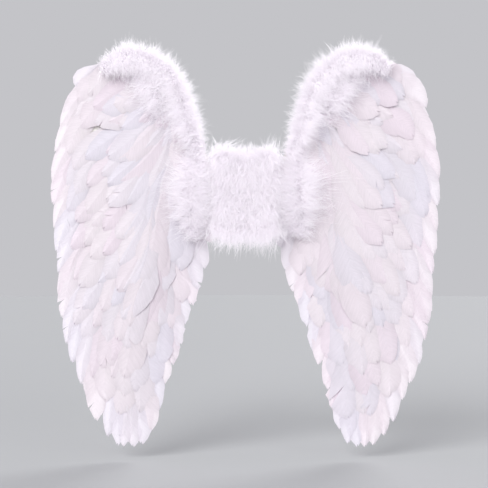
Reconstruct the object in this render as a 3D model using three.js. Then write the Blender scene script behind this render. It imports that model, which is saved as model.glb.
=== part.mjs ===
// Feathered costume wings: two card-and-wire wings, hinged by fabric on a padded back panel with two elastic arm loops.
// Millimetres, +Z up as worn. The feathered side faces -Y, and the wearer stands on the +Y side.
// The origin is the middle of the back pad's face, the one that lies against the wearer's back.
import * as THREE from "three";

// ---- Driving dimensions -------------------------------------------------------------------------------------
const SPAN = 622; // over the outermost feather tips
const DROP = 403; // from the middle of the back pad down to the lowest feather tip
const RISE = 226; // from the middle of the back pad up to the top edge of the wing card
const HINGE_X = 58; // each fold line, from the middle plane
const FOLD_GAP = 4; // bare fabric between the back panel and a wing card
const PANEL_HEIGHT = 118; // of the back panel between the wings
const PAD_HALF_WIDTH = 19; // the pad lies between the two arm loops
const PAD_HALF_HEIGHT = 52;
const PAD = 4; // thickness
const CLEARANCE = 0.3; // between layers that are glued or sewn together

const FELT = 1.2;
const CARD = 3;
const TAPE = 1; // the fold lines run through the middle of its thickness
const TAPE_REACH = 16; // how far the hinge tape runs each side of its fold line

const ROWS = 7; // rows of feathers on a wing, the last of them the short coverts
const VANE = 1.2; // thickness that a row of glued feathers packs down to
const FEATHER_PITCH = 44; // one scallop of a row's edge
const FEATHER_NOTCH = 11; // depth of the notch between two feather tips
const ROW_SHARE = 1 / 7.5; // how far each row steps in, as a share of the way to the middle of the wing

const CENTRE_BOA_RADIUS = 12.7;
const CENTRE_BOA_COUNT = 5;
const CENTRE_BOA_SPACING = 26;
const CENTRE_BOA_INSET = 15; // from the fold line, so that the folded wing clears it
const EDGE_BOA_RADIUS = 12.7;
const SECOND_BOA_RADIUS = 10;
const SECOND_BOA_ON_ROWS = 4; // rows of quills that it is sewn over, so it lies just outside the next row
const ROOT_BOA_RADIUS = 7.5;
const ROOT_BOA_ON_ROWS = 2;
const BOA_TO_ROW = 1; // from the side of a boa to the row that it lies outside
const ROOT_BOA_HALF_HEIGHT = 52;
const BOA_SIDES = 8;

const WIRE_RADIUS = 1.25;
const WIRE_INSET = 14; // from the edge of the card
const WIRE_TIP_INSET = 58; // where it turns, above the lowest point of the card
const WIRE_LAP = 3; // space between the two wire ends inside the sleeve
const SLEEVE_LENGTH = 26;
const SLEEVE_WALL = 0.9;
const CASING_HALF_WIDTH = 8;
const CASING_FELT = 1;

const STRAP_WIDTH = 20;
const STRAP_THICKNESS = 1.4;
const STRAP_X = 32; // the line through both sewn ends, from the middle plane
const STRAP_STAND = 11.5; // that line, from the lining that the ends are sewn to
const STRAP_SPLAY = 35; // degrees that a loop leans outwards at rest
const STRAP_DEPTH = 106; // how far a loop reaches back from its line
const STRAP_HALF_HEIGHT = 61;
const STRAP_END_Z = 40; // where a loop leaves its sewn end
const SEWN_LENGTH = 22; // of elastic, flat on the lining
const SEWN_START_Z = 3;
const SEWN_STEPS = 16;
const STRAP_STEPS = 36;

// ---- Levels, counted from the face of the pad towards the feathers -------------------------------------------
const LINING_BACK = -(PAD + CLEARANCE);
const CARD_BACK = LINING_BACK - FELT - CLEARANCE;
const TAPE_BACK = CARD_BACK - CARD - CLEARANCE;
const FEATHER_BACK = TAPE_BACK - TAPE - CLEARANCE;
const ROW_STEP = VANE + CLEARANCE;

const WING_ROOT = HINGE_X + FOLD_GAP / 2;
const PANEL_HALF_WIDTH = HINGE_X - FOLD_GAP / 2;
const WIDE = SPAN / 2 - HINGE_X; // the reach of a wing from its fold line

const SLEEVE_OUTER = WIRE_RADIUS + CLEARANCE + SLEEVE_WALL;
const WIRE_LEVEL = LINING_BACK + CLEARANCE + SLEEVE_OUTER; // the wire's middle, behind the lining
const WIRE_STEPS = 40;

// ---- Finishes ------------------------------------------------------------------------------------------------
const finish = (color, roughness, metalness = 0) => new THREE.MeshStandardMaterial({ color, roughness, metalness });
const featherWhite = () => finish(0xf3eef4, 0.8);
const downWhite = () => finish(0xf6f4fa, 1);
const feltWhite = () => finish(0xefedf0, 0.95);
const cardGrey = () => finish(0xdcd8d0, 0.9);
const wireSteel = () => finish(0xa8abb0, 0.35, 1);
const elasticWhite = () => finish(0xf4f2f2, 0.7);

// ---- Shared shapes -------------------------------------------------------------------------------------------

// A mesh whose outline is drawn as worn, x across and y up, and whose thickness runs from `back` towards the feathers.
function plate(name, outline, back, thickness, material) {
  const geometry = new THREE.ExtrudeGeometry(outline, { depth: thickness, bevelEnabled: false, curveSegments: 3 });
  const mesh = new THREE.Mesh(geometry, material);
  mesh.name = name;
  mesh.rotation.x = Math.PI / 2;
  mesh.position.y = back;
  return mesh;
}

// A mesh of one section carried along a path.
function swept(name, section, path, steps, material) {
  const geometry = new THREE.ExtrudeGeometry(section, { steps, extrudePath: path, bevelEnabled: false });
  const mesh = new THREE.Mesh(geometry, material);
  mesh.name = name;
  return mesh;
}

function polygon(radius, sides) {
  const corners = Array.from({ length: sides }, (_, i) => {
    const turn = ((i + 0.5) * 2 * Math.PI) / sides;
    return new THREE.Vector2(radius * Math.cos(turn), radius * Math.sin(turn));
  });
  return new THREE.Shape(corners);
}

function roundedRectangle(halfWidth, halfHeight, corner) {
  const shape = new THREE.Shape();
  shape.moveTo(-halfWidth + corner, -halfHeight);
  shape.lineTo(halfWidth - corner, -halfHeight);
  shape.quadraticCurveTo(halfWidth, -halfHeight, halfWidth, -halfHeight + corner);
  shape.lineTo(halfWidth, halfHeight - corner);
  shape.quadraticCurveTo(halfWidth, halfHeight, halfWidth - corner, halfHeight);
  shape.lineTo(-halfWidth + corner, halfHeight);
  shape.quadraticCurveTo(-halfWidth, halfHeight, -halfWidth, halfHeight - corner);
  shape.lineTo(-halfWidth, -halfHeight + corner);
  shape.quadraticCurveTo(-halfWidth, -halfHeight, -halfWidth + corner, -halfHeight);
  return shape;
}

// Moves each point of an open line sideways by `distance`, to the left of the way it runs when that is positive.
function offset(points, distance) {
  return points.map((point, i) => {
    const before = points[Math.max(i - 1, 0)];
    const after = points[Math.min(i + 1, points.length - 1)];
    const along = after.clone().sub(before).normalize();
    return new THREE.Vector2(point.x - along.y * distance, point.y + along.x * distance);
  });
}

// ---- The wing's outlines, for the right wing, from the fold line (x) and the middle of the pad (y) -------------

// A point given as a share of the wing's reach, and of its drop or its rise.
function wingPoint(reachShare, heightShare) {
  const height = heightShare < 0 ? heightShare * DROP : heightShare * RISE;
  return new THREE.Vector2(HINGE_X + reachShare * WIDE, height);
}

const rootTop = new THREE.Vector2(WING_ROOT, PANEL_HEIGHT / 2 + 3);
const rootBottom = new THREE.Vector2(WING_ROOT, -PANEL_HEIGHT / 2);

// The card's edge from its lower root corner, down to the tip, up the outer side, over the top and back to the root.
const cardEdge = [
  rootBottom,
  wingPoint(0.12, -0.22),
  wingPoint(0.23, -0.325),
  wingPoint(0.32, -0.47),
  wingPoint(0.4, -0.62),
  wingPoint(0.475, -0.765),
  wingPoint(0.55, -0.825),
  wingPoint(0.625, -0.765),
  wingPoint(0.69, -0.64),
  wingPoint(0.745, -0.49),
  wingPoint(0.79, -0.34),
  wingPoint(0.82, -0.19),
  wingPoint(0.84, -0.04),
  wingPoint(0.842, 0.19),
  wingPoint(0.834, 0.42),
  wingPoint(0.81, 0.62),
  wingPoint(0.76, 0.8),
  wingPoint(0.68, 0.92),
  wingPoint(0.58, 0.985),
  wingPoint(0.48, 1),
  wingPoint(0.37, 0.97),
  wingPoint(0.275, 0.9),
  wingPoint(0.205, 0.81),
  wingPoint(0.16, 0.7),
  wingPoint(0.135, 0.6),
  wingPoint(0.11, 0.49),
  wingPoint(0.07, 0.37),
  rootTop,
];
const CARD_TIP = 6; // the lowest point in that list
const CARD_TOP_FROM = 17; // where the top of the card's edge begins in that list
const edgeBoaLine = offset(cardEdge.slice(CARD_TOP_FROM, -1), 5);

// The tips of the first row, from below the root, round the tip of the wing and up to the shoulder.
const tipLine = [
  wingPoint(0.02, -0.115),
  wingPoint(0.002, -0.19),
  wingPoint(0.047, -0.305),
  wingPoint(0.095, -0.402),
  wingPoint(0.155, -0.496),
  wingPoint(0.194, -0.59),
  wingPoint(0.249, -0.687),
  wingPoint(0.31, -0.782),
  wingPoint(0.348, -0.878),
  wingPoint(0.415, -0.972),
  wingPoint(0.525, -1),
  wingPoint(0.63, -0.972),
  wingPoint(0.735, -0.878),
  wingPoint(0.795, -0.782),
  wingPoint(0.865, -0.687),
  wingPoint(0.912, -0.59),
  wingPoint(0.938, -0.496),
  wingPoint(0.953, -0.402),
  wingPoint(0.965, -0.305),
  wingPoint(0.98, -0.2),
  wingPoint(0.996, -0.084),
  wingPoint(1, 0.022),
  wingPoint(0.996, 0.19),
  wingPoint(0.976, 0.363),
  wingPoint(0.949, 0.496),
  wingPoint(0.917, 0.642),
  wingPoint(0.838, 0.814),
  wingPoint(0.743, 0.885),
];
// The rows' other edge lies just inside the boa that covers the top of the wing, and ends at the wing's root.
const topQuills = offset(edgeBoaLine, EDGE_BOA_RADIUS + 2);
const rootQuill = new THREE.Vector2(WING_ROOT + 4, PANEL_HEIGHT / 2 + 1);

// Each row's edge steps in towards a point on the middle line of the wing, higher up than itself.
const FAN_HEIGHT = 0.53 * RISE;
const FAN_SHARE = 0.45;
const middleLine = (height) => wingPoint(0.53 - 0.07 * THREE.MathUtils.smoothstep(height, -0.37 * DROP, 0), 0).x;
function steppedIn(point, share) {
  const height = FAN_HEIGHT + (point.y - FAN_HEIGHT) * FAN_SHARE;
  return point.clone().lerp(new THREE.Vector2(middleLine(height), height), share);
}

// ---- Parts of a wing -------------------------------------------------------------------------------------------

// The outline of one row: rounded feather tips along the outer and lower edges, and a plain line under the boa.
function rowOutline(row, side) {
  const share = row * ROW_SHARE;
  const tips = new THREE.SplineCurve(tipLine.map((point) => steppedIn(point, share)));
  const count = Math.round(tips.getLength() / FEATHER_PITCH);
  const centre = steppedIn(wingPoint(0.5, 0), 1);
  const notch = (point) => point.clone().add(centre.clone().sub(point).setLength(FEATHER_NOTCH));
  const notches = tips.getSpacedPoints(count).map(notch);
  const ends = tips.getSpacedPoints(2 * count).filter((_, i) => i % 2 === 1);
  const shape = new THREE.Shape();
  shape.moveTo(side * notches[0].x, notches[0].y);
  ends.forEach((end, i) => {
    const between = notches[i].clone().lerp(notches[i + 1], 0.5);
    const pull = end.clone().multiplyScalar(2).sub(between);
    shape.quadraticCurveTo(side * pull.x, pull.y, side * notches[i + 1].x, notches[i + 1].y);
  });
  [...topQuills, rootQuill].forEach((point) => {
    const inner = steppedIn(point, share);
    shape.lineTo(side * inner.x, inner.y);
  });
  shape.closePath();
  return shape;
}

function featherRow(row, side, name) {
  return plate(name, rowOutline(row, side), FEATHER_BACK - row * ROW_STEP, VANE, featherWhite());
}

// The outline of the card, or of the felt that lines it, smaller by `margin`.
function cardOutline(side, margin) {
  const edge = offset(cardEdge, margin);
  const shape = new THREE.Shape();
  shape.moveTo(side * (WING_ROOT + margin), edge[0].y + margin);
  shape.splineThru(edge.slice(1, -1).map((point) => new THREE.Vector2(side * point.x, point.y)));
  shape.lineTo(side * (WING_ROOT + margin), edge[edge.length - 1].y - margin);
  shape.closePath();
  return shape;
}

// The wire's line, a little inside the card's edge, from the sleeve at the root and round to the sleeve again.
function wireLine(side) {
  const x = WING_ROOT + WIRE_INSET;
  const start = WIRE_LAP / 2;
  const inset = offset(cardEdge, WIRE_INSET);
  const turn = new THREE.Vector2(cardEdge[CARD_TIP].x, cardEdge[CARD_TIP].y + WIRE_TIP_INSET);
  const flat = [
    new THREE.Vector2(x, -start),
    new THREE.Vector2(x, -start - SLEEVE_LENGTH),
    new THREE.Vector2(x + 4, rootBottom.y + WIRE_INSET),
    ...inset.slice(2, CARD_TIP - 1),
    turn,
    ...inset.slice(CARD_TIP + 2, -3),
    new THREE.Vector2(x + 5, rootTop.y),
    new THREE.Vector2(x, start + SLEEVE_LENGTH),
    new THREE.Vector2(x, start),
  ];
  return new THREE.CatmullRomCurve3(flat.map((point) => new THREE.Vector3(side * point.x, WIRE_LEVEL, point.y)));
}

function frameWire(side, name) {
  return swept(name, polygon(WIRE_RADIUS, 8), wireLine(side), WIRE_STEPS, wireSteel());
}

// The felt sewn over the wire: an arch with a flat flange on each side. x of the section runs towards the lining.
function wireCasing(side, name) {
  const room = SLEEVE_OUTER + 2 * CLEARANCE;
  const top = 2 * SLEEVE_OUTER + 2 * CLEARANCE;
  const half = [
    [0, CASING_HALF_WIDTH],
    [CASING_FELT, CASING_HALF_WIDTH],
    [CASING_FELT, room + 2 * CASING_FELT],
    [top + CASING_FELT, room],
  ];
  const hollow = [
    [0, room + CASING_FELT],
    [top, room - CASING_FELT / 2],
  ];
  const corners = [
    ...half,
    ...half.map(([up, across]) => [up, -across]).reverse(),
    ...hollow.map(([up, across]) => [up, -across]),
    ...hollow.slice().reverse(),
  ];
  const section = new THREE.Shape(corners.map(([up, across]) => new THREE.Vector2(SLEEVE_OUTER - up, across)));
  return swept(name, section, wireLine(side), WIRE_STEPS, feltWhite());
}

// The crimped sleeve that joins the wire's two ends.
function wireSleeve(side, name) {
  const bore = WIRE_RADIUS + CLEARANCE;
  const half = SLEEVE_LENGTH / 2;
  const profile = [
    new THREE.Vector2(bore, -half),
    new THREE.Vector2(SLEEVE_OUTER, -half),
    new THREE.Vector2(SLEEVE_OUTER, half),
    new THREE.Vector2(bore, half),
    new THREE.Vector2(bore, -half),
  ];
  const mesh = new THREE.Mesh(new THREE.LatheGeometry(profile, 12), wireSteel());
  mesh.name = name;
  mesh.rotation.x = Math.PI / 2;
  mesh.position.set(side * (WING_ROOT + WIRE_INSET), WIRE_LEVEL, 0);
  return mesh;
}

// ---- Boas: cords of marabou down, as plain tubes of the thickness that the down packs to --------------------------

function boa(name, points, radius, back, steps, side) {
  const level = back - radius;
  const path = new THREE.CatmullRomCurve3(points.map((point) => new THREE.Vector3(side * point.x, level, point.y)));
  return swept(name, polygon(radius, BOA_SIDES), path, steps, downWhite());
}

// The boa's line starts at the root, so it runs the other way from the card's edge.
function edgeBoa(side, name) {
  return boa(name, edgeBoaLine.slice().reverse(), EDGE_BOA_RADIUS, FEATHER_BACK, 26, side);
}

function secondBoa(side, name) {
  const nextRow = topQuills.slice(1, -1).map((point) => steppedIn(point, SECOND_BOA_ON_ROWS * ROW_SHARE));
  const line = offset(nextRow, -SECOND_BOA_RADIUS - BOA_TO_ROW).reverse();
  return boa(name, line, SECOND_BOA_RADIUS, FEATHER_BACK - SECOND_BOA_ON_ROWS * ROW_STEP, 18, side);
}

function rootBoa(side, name) {
  const x = steppedIn(rootQuill, ROOT_BOA_ON_ROWS * ROW_SHARE).x - ROOT_BOA_RADIUS - BOA_TO_ROW;
  const line = [-ROOT_BOA_HALF_HEIGHT, 0, ROOT_BOA_HALF_HEIGHT].map((height) => new THREE.Vector2(x, height));
  return boa(name, line, ROOT_BOA_RADIUS, FEATHER_BACK - ROOT_BOA_ON_ROWS * ROW_STEP, 4, side);
}

function wing(side, word) {
  const group = new THREE.Group();
  group.add(
    plate(`${word}_wing_lining`, cardOutline(side, 1.5), LINING_BACK, FELT, feltWhite()),
    plate(`${word}_wing_card`, cardOutline(side, 0), CARD_BACK, CARD, cardGrey()),
    frameWire(side, `${word}_frame_wire`),
    wireSleeve(side, `${word}_wire_sleeve`),
    wireCasing(side, `${word}_wire_casing`),
  );
  for (let row = 0; row < ROWS - 1; row += 1) {
    group.add(featherRow(row, side, `${word}_feather_row_${row + 1}`));
  }
  group.add(
    featherRow(ROWS - 1, side, `${word}_covert_feathers`),
    edgeBoa(side, `${word}_edge_boa`),
    secondBoa(side, `${word}_second_boa`),
    rootBoa(side, `${word}_root_boa`),
  );
  return group;
}

// ---- Back panel, hinge tapes and the down over them -----------------------------------------------------------------

function hingeTape(side, name) {
  const halfHeight = PANEL_HEIGHT / 2 - 5;
  const inner = side * (HINGE_X - TAPE_REACH);
  const outer = side * (HINGE_X + TAPE_REACH);
  const outline = new THREE.Shape([
    new THREE.Vector2(inner, -halfHeight),
    new THREE.Vector2(outer, -halfHeight),
    new THREE.Vector2(outer, halfHeight),
    new THREE.Vector2(inner, halfHeight),
  ]);
  return plate(name, outline, TAPE_BACK, TAPE, feltWhite());
}

function backPanel() {
  const group = new THREE.Group();
  const outline = roundedRectangle(PANEL_HALF_WIDTH, PANEL_HEIGHT / 2, 8);
  const padOutline = roundedRectangle(PAD_HALF_WIDTH, PAD_HALF_HEIGHT, 8);
  group.add(
    plate("back_pad", padOutline, 0, PAD, feltWhite()),
    plate("back_lining", outline, LINING_BACK, FELT, feltWhite()),
    plate("back_card", outline, CARD_BACK, CARD, cardGrey()),
    hingeTape(1, "right_hinge_tape"),
    hingeTape(-1, "left_hinge_tape"),
  );
  const reach = HINGE_X - CENTRE_BOA_INSET;
  for (let i = 0; i < CENTRE_BOA_COUNT; i += 1) {
    const height = ((CENTRE_BOA_COUNT - 1) / 2 - i) * CENTRE_BOA_SPACING;
    const line = [new THREE.Vector2(-reach, height), new THREE.Vector2(reach, height)];
    group.add(boa(`centre_boa_${i + 1}`, line, CENTRE_BOA_RADIUS, FEATHER_BACK, 6, 1));
  }
  return group;
}

// ---- Arm loops --------------------------------------------------------------------------------------------------------

// A stretch of elastic that bends in the YZ plane along `points` (y, z), its width centred on x = 0.
function elastic(name, points) {
  const half = STRAP_THICKNESS / 2;
  const outline = new THREE.Shape([...offset(points, half), ...offset(points, -half).reverse()]);
  const geometry = new THREE.ExtrudeGeometry(outline, { depth: STRAP_WIDTH, bevelEnabled: false });
  geometry.translate(0, 0, -STRAP_WIDTH / 2);
  const mesh = new THREE.Mesh(geometry, elasticWhite());
  mesh.name = name;
  mesh.quaternion.setFromAxisAngle(new THREE.Vector3(1, 1, 1).normalize(), (2 * Math.PI) / 3);
  return mesh;
}

// One loop. It turns about the line through its two ends.
function armLoop(side, name) {
  const upper = [
    [0, STRAP_END_Z],
    [0, STRAP_END_Z + 5],
    [0.05 * STRAP_DEPTH, 0.92 * STRAP_HALF_HEIGHT],
    [0.18 * STRAP_DEPTH, STRAP_HALF_HEIGHT],
    [0.45 * STRAP_DEPTH, STRAP_HALF_HEIGHT],
    [0.76 * STRAP_DEPTH, 0.86 * STRAP_HALF_HEIGHT],
    [0.94 * STRAP_DEPTH, 0.54 * STRAP_HALF_HEIGHT],
  ];
  const lower = upper.map(([out, up]) => [out, -up]).reverse();
  const corners = [...upper, [STRAP_DEPTH, 0], ...lower].map(([out, up]) => new THREE.Vector2(out, up));
  const group = new THREE.Group();
  group.add(elastic(name, new THREE.SplineCurve(corners).getSpacedPoints(STRAP_STEPS)));
  group.position.set(side * STRAP_X, LINING_BACK + STRAP_STAND, 0);
  group.rotation.z = -side * THREE.MathUtils.degToRad(STRAP_SPLAY);
  return group;
}

// A loop's end: sewn flat on the lining, then bent back to where the loop begins.
function sewnEnd(side, up, name) {
  const level = 2 * CLEARANCE + STRAP_THICKNESS / 2;
  const bend = SEWN_START_Z + SEWN_LENGTH;
  const stop = STRAP_END_Z - CLEARANCE;
  const points = Array.from({ length: SEWN_STEPS + 1 }, (_, i) => {
    const height = THREE.MathUtils.lerp(SEWN_START_Z, stop, i / SEWN_STEPS);
    const out = level + (STRAP_STAND - level) * THREE.MathUtils.smoothstep(height, bend - 3, stop - 3);
    return new THREE.Vector2(out, up * height);
  });
  const mesh = elastic(name, points);
  mesh.position.set(side * STRAP_X, LINING_BACK, 0);
  return mesh;
}

// ---- The whole object ---------------------------------------------------------------------------------------------------

const wings = new THREE.Group();
wings.add(backPanel());
for (const [side, word] of [[1, "right"], [-1, "left"]]) {
  wings.add(
    wing(side, word),
    sewnEnd(side, 1, `${word}_upper_sewn_end`),
    sewnEnd(side, -1, `${word}_lower_sewn_end`),
    armLoop(side, `${word}_arm_loop`),
  );
}

export default wings;
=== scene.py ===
import math

import bmesh
import bpy
import numpy as np
from mathutils import Matrix, Vector, noise


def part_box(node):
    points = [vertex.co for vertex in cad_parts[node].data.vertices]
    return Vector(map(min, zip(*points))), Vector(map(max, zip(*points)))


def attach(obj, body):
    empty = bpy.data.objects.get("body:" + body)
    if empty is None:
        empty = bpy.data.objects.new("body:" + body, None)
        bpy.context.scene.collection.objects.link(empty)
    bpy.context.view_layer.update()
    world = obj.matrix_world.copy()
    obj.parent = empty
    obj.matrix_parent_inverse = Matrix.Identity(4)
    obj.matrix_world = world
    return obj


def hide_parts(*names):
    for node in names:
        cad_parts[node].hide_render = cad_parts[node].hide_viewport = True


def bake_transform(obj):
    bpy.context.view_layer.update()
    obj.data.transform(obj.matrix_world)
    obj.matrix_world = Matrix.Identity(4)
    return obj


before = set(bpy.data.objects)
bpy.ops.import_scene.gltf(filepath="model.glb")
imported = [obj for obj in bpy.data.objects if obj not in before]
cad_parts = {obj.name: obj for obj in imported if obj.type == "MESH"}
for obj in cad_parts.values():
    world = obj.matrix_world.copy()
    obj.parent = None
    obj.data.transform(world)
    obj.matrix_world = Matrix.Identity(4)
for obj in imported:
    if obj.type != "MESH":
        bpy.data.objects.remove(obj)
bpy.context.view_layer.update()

# ---- Studio ------------------------------------------------------------------------------------------------
# The wings hang just above a plain pale floor, square to the camera and lit by large soft lamps.
# Sizes in this file are in millimetres until a mesh is made, x across and z up as worn.


def linear(hex_colour):
    """An sRGB hex colour as linear red, green, blue and alpha."""
    parts = [int(hex_colour[i : i + 2], 16) / 255 for i in (0, 2, 4)]
    return [p / 12.92 if p <= 0.04045 else ((p + 0.055) / 1.055) ** 2.4 for p in parts] + [1.0]


def add(tree, kind, inputs=None, **settings):
    """Adds a node, with its settings, and with its inputs set to a value or linked to another node's output."""
    made = tree.nodes.new("ShaderNode" + kind)
    for setting, value in settings.items():
        setattr(made, setting, value)
    for name, value in (inputs or {}).items():
        if isinstance(value, bpy.types.NodeSocket):
            tree.links.new(value, made.inputs[name])
        else:
            made.inputs[name].default_value = value
    return made


def finish_of(name, roughness, metallic=0.0, ior=1.5):
    """A new material, its node tree and its Principled shader."""
    material = bpy.data.materials.new(name)
    material.use_nodes = True
    shader = material.node_tree.nodes["Principled BSDF"]
    shader.inputs["Roughness"].default_value = roughness
    shader.inputs["Metallic"].default_value = metallic
    shader.inputs["IOR"].default_value = ior
    return material, material.node_tree, shader


scene = bpy.context.scene
scene.view_settings.view_transform = "Standard"

CAMERA_DISTANCE = 1.844
camera = bpy.data.objects.new("camera", bpy.data.cameras.new("camera"))
camera.data.lens = 85
camera.location = (-0.0024, -0.02 - CAMERA_DISTANCE, -0.078)
camera.rotation_euler = (math.radians(90), 0, 0)
scene.collection.objects.link(camera)
scene.camera = camera

FLOOR_LEVEL = -0.425
PAPER_GREY = "aaabad"
floor_bm = bmesh.new()
bmesh.ops.create_circle(floor_bm, cap_ends=True, segments=96, radius=6)
floor_mesh = bpy.data.meshes.new("floor")
floor_bm.to_mesh(floor_mesh)
floor_bm.free()
floor_mesh.transform(Matrix.Translation((0, 0, FLOOR_LEVEL)))
floor = bpy.data.objects.new("floor", floor_mesh)
scene.collection.objects.link(floor)
floor_paint, _, floor_shader = finish_of("matt floor paint", 0.9)
floor_shader.inputs["Base Color"].default_value = linear(PAPER_GREY)
floor_mesh.materials.append(floor_paint)

world = bpy.data.worlds.new("studio")
world.use_nodes = True
world.node_tree.nodes["Background"].inputs["Color"].default_value = linear("c4c4c8")
world.node_tree.nodes["Background"].inputs["Strength"].default_value = 1.0
scene.world = world

for lamp_name, towards, brightness, softness in [
    ("front lamp", (-0.5, -0.8, 0.55), 2.55, 40),
    ("fill lamp", (0.6, -0.8, 0.1), 1.3, 60),
    ("back lamp", (0.5, 0.8, 0.5), 1.5, 40),
]:
    lamp = bpy.data.objects.new(lamp_name, bpy.data.lights.new(lamp_name, "SUN"))
    lamp.data.energy = brightness
    lamp.data.angle = math.radians(softness)
    lamp.rotation_euler = (-Vector(towards)).to_track_quat("-Z", "Y").to_euler()
    scene.collection.objects.link(lamp)
scene.cycles.diffuse_bounces = 10

# ---- Cards ---------------------------------------------------------------------------------------------------
# Each wing and the panel between them is a flat stiffener of 3 mm white-lined board, die cut from one sheet.
# Pulp board is matt and slightly flecked, with fibres a few millimetres long pressed flat into its face.
BOARD_FLECK = 2.5

board, tree, shader = finish_of("white-lined board", 0.9)
where = add(tree, "TexCoord").outputs["Object"]
flecks = add(tree, "TexNoise", {"Vector": where, "Scale": 1000 / BOARD_FLECK, "Detail": 3.0}).outputs["Fac"]
tones = add(tree, "ValToRGB", {"Fac": flecks})
tones.color_ramp.elements[0].position = 0.3
tones.color_ramp.elements[0].color = linear("d8d5cf")
tones.color_ramp.elements[1].position = 0.7
tones.color_ramp.elements[1].color = linear("efede9")
tree.links.new(tones.outputs["Color"], shader.inputs["Base Color"])
pressed = add(tree, "Bump", {"Height": flecks, "Strength": 0.3, "Distance": 0.0002})
tree.links.new(pressed.outputs["Normal"], shader.inputs["Normal"])


def dress(node_name, material, slot_name):
    """Gives a CAD solid that stays as it is its finish."""
    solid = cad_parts[node_name]
    solid.data.materials.clear()
    solid.data.materials.append(material)
    return solid


for word in ("right", "left"):
    dress(f"{word}_wing_card", board, "card")
dress("back_card", board, "card")

# ---- Frame wires and their sleeves --------------------------------------------------------------------------
# A loop of 2.5 mm zinc-coated spring wire holds each wing's shape, its two ends joined in a crimped steel sleeve.
# Drawn wire has a satin grey shine with fine dull patches where the zinc has frosted.
ZINC_PATCH = 4

wire_steel, tree, shader = finish_of("zinc-coated steel", 0.38, metallic=1.0)
where = add(tree, "TexCoord").outputs["Object"]
frosting = add(tree, "TexNoise", {"Vector": where, "Scale": 1000 / ZINC_PATCH, "Detail": 4.0}).outputs["Fac"]
tones = add(tree, "ValToRGB", {"Fac": frosting})
tones.color_ramp.elements[0].color = linear("9b9ea3")
tones.color_ramp.elements[1].color = linear("c3c6ca")
tree.links.new(tones.outputs["Color"], shader.inputs["Base Color"])
dullness = add(tree, "MapRange", {"Value": frosting, "To Min": 0.3, "To Max": 0.5})
tree.links.new(dullness.outputs["Result"], shader.inputs["Roughness"])
for word in ("right", "left"):
    dress(f"{word}_frame_wire", wire_steel, "steel_wire")
    dress(f"{word}_wire_sleeve", wire_steel, "steel_wire")

# ---- Felt linings ----------------------------------------------------------------------------------------------
# White needle-punched felt, 1.2 mm thick, is glued over the back of each card and sewn round its edge.
# It is matt and slightly hairy, lies a little unevenly over the glue, and dips where the seam pulls it down.
FELT = 1.2
FELT_FIBRE = 1.6
LINING_BACK = -4.3
SEAM_INSET = 6.0
SEAM_WIDTH = 2.4

felt, tree, shader = finish_of("needle-punched felt", 0.95)
where = add(tree, "TexCoord").outputs["Object"]
fibres = add(
    tree, "TexNoise", {"Vector": where, "Scale": 1000 / FELT_FIBRE, "Detail": 5.0, "Roughness": 0.7}
).outputs["Fac"]
tones = add(tree, "ValToRGB", {"Fac": fibres})
tones.color_ramp.elements[0].position = 0.3
tones.color_ramp.elements[0].color = linear("dedce0")
tones.color_ramp.elements[1].position = 0.62
tones.color_ramp.elements[1].color = linear("f1eff2")
tree.links.new(tones.outputs["Color"], shader.inputs["Base Color"])
nap = add(tree, "Bump", {"Height": fibres, "Strength": 0.5, "Distance": 0.0004})
tree.links.new(nap.outputs["Normal"], shader.inputs["Normal"])
shader.inputs["Sheen Weight"].default_value = 0.25
shader.inputs["Sheen Roughness"].default_value = 0.6


def keep(bm, name, material):
    """Makes a finished bmesh, built in millimetres, a smooth-shaded object in metres."""
    mesh = bpy.data.meshes.new(name)
    bm.to_mesh(mesh)
    bm.free()
    mesh.transform(Matrix.Scale(0.001, 4))
    mesh.shade_smooth()
    mesh.materials.append(material)
    made = bpy.data.objects.new(name, mesh)
    scene.collection.objects.link(made)
    return made


def outline_of(node_name):
    """The outline of a flat CAD sheet's back face as a bmesh, in millimetres."""
    bm = bmesh.new()
    bm.from_mesh(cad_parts[node_name].data)
    bmesh.ops.remove_doubles(bm, verts=bm.verts, dist=1e-6)
    bmesh.ops.scale(bm, vec=(1000, 1000, 1000), verts=bm.verts)
    top = max(v.co.y for v in bm.verts)
    front = [f for f in bm.faces if f.calc_center_median().y < top - 0.01]
    bmesh.ops.delete(bm, geom=front, context="FACES")
    bmesh.ops.dissolve_limit(bm, angle_limit=0.001, verts=bm.verts, edges=bm.edges)
    return bm


def ruled(bm, pitch):
    """Cuts a flat sheet into squares of `pitch`, so that it can be shaped."""
    for axis in (Vector((1, 0, 0)), Vector((0, 0, 1))):
        spots = [v.co.dot(axis) for v in bm.verts]
        for i in range(math.ceil(min(spots) / pitch), math.floor(max(spots) / pitch) + 1):
            everything = [*bm.verts, *bm.edges, *bm.faces]
            bmesh.ops.bisect_plane(bm, geom=everything, dist=0.01, plane_co=axis * (i * pitch), plane_no=axis)


def rim_distance(bm, points):
    """How far each point is from the sheet's rim."""
    rim = [(np.array(e.verts[0].co), np.array(e.verts[1].co)) for e in bm.edges if e.is_boundary]
    least = np.full(len(points), 1e9)
    for a, b in rim:
        along = np.clip(((points - a) @ (b - a)) / max((b - a) @ (b - a), 1e-9), 0, 1)
        least = np.minimum(least, np.linalg.norm(points - a - along[:, None] * (b - a), axis=1))
    return least


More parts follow.
